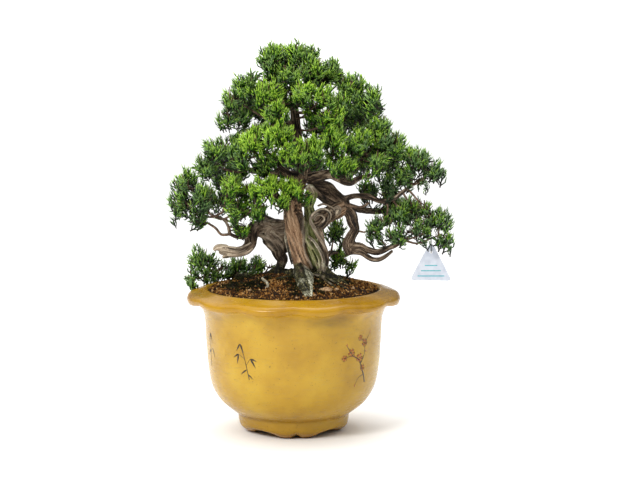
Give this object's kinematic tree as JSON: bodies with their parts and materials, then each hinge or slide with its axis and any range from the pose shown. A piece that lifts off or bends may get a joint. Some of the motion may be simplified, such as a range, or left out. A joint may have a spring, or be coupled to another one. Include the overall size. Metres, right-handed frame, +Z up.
{
  "type": "chinese juniper bonsai in a pot",
  "caption": "Juniper bonsai with a twisted trunk, deadwood and clouds of scale-leaf sprays, planted in soil in a round glazed pot with a lobed lip and cloud feet.",
  "frame": {"origin": "on the surface the pot stands on, under the middle of the whole tree's outline; the pot's axis is 27 mm to the left of it", "axes": "+Z up, +X to the viewer's right, the tree's front faces -Y"},
  "size_m": [0.407, 0.305, 0.56],
  "materials": {
    "pot_glaze": "glossy ochre glaze over stoneware",
    "clay_grains": "matt baked clay grains",
    "bark": "fibrous bark with bare grey deadwood",
    "leaf_bright": "fresh yellow-green scale leaves",
    "leaf_mid": "green scale leaves",
    "leaf_dark": "dark bluish green scale leaves",
    "tag_plastic": "thin translucent sheet plastic",
    "dark_wire": "dark coated wire",
    "screen_plastic": "black plastic mesh"
  },
  "bodies": {
    "root": {"pot": "pot_glaze", "drain_screen_1": "screen_plastic", "drain_screen_2": "screen_plastic", "drain_screen_3": "screen_plastic", "trunk": "bark", "soil": "clay_grains", "spray_apex_left": "leaf_mid", "spray_apex_top": "leaf_bright", "spray_apex_right": "leaf_mid", "spray_upper_left": "leaf_mid", "spray_centre_left": "leaf_bright", "spray_centre_high": "leaf_bright", "spray_upper_right": "leaf_mid", "spray_right_shoulder": "leaf_mid", "spray_centre_mid": "leaf_bright", "spray_front_mid": "leaf_bright", "spray_left_inner": "leaf_dark", "spray_right_front": "leaf_bright", "spray_right_mid": "leaf_mid", "spray_right_outer": "leaf_mid", "spray_right_tip": "leaf_mid", "spray_left_mid": "leaf_dark", "spray_left_far": "leaf_dark", "spray_left_low": "leaf_dark", "spray_front_low": "leaf_bright", "spray_front_low_right": "leaf_bright", "spray_lower_right": "leaf_mid", "spray_lower_right_mid": "leaf_mid", "spray_lower_right_end": "leaf_mid", "spray_ground_left": "leaf_dark", "spray_ground_mid": "leaf_dark", "spray_behind_right": "leaf_dark", "spray_inner_right": "leaf_dark", "spray_back_apex": "leaf_dark", "spray_back_upper_left": "leaf_dark", "spray_back_upper_right": "leaf_dark", "spray_back_centre": "leaf_dark", "spray_back_left": "leaf_dark", "spray_back_middle": "leaf_dark", "spray_back_right": "leaf_dark", "spray_back_left_low": "leaf_dark", "spray_back_right_low": "leaf_dark", "tag": "tag_plastic", "tag_wire": "dark_wire"}
  },
  "joints": []
}
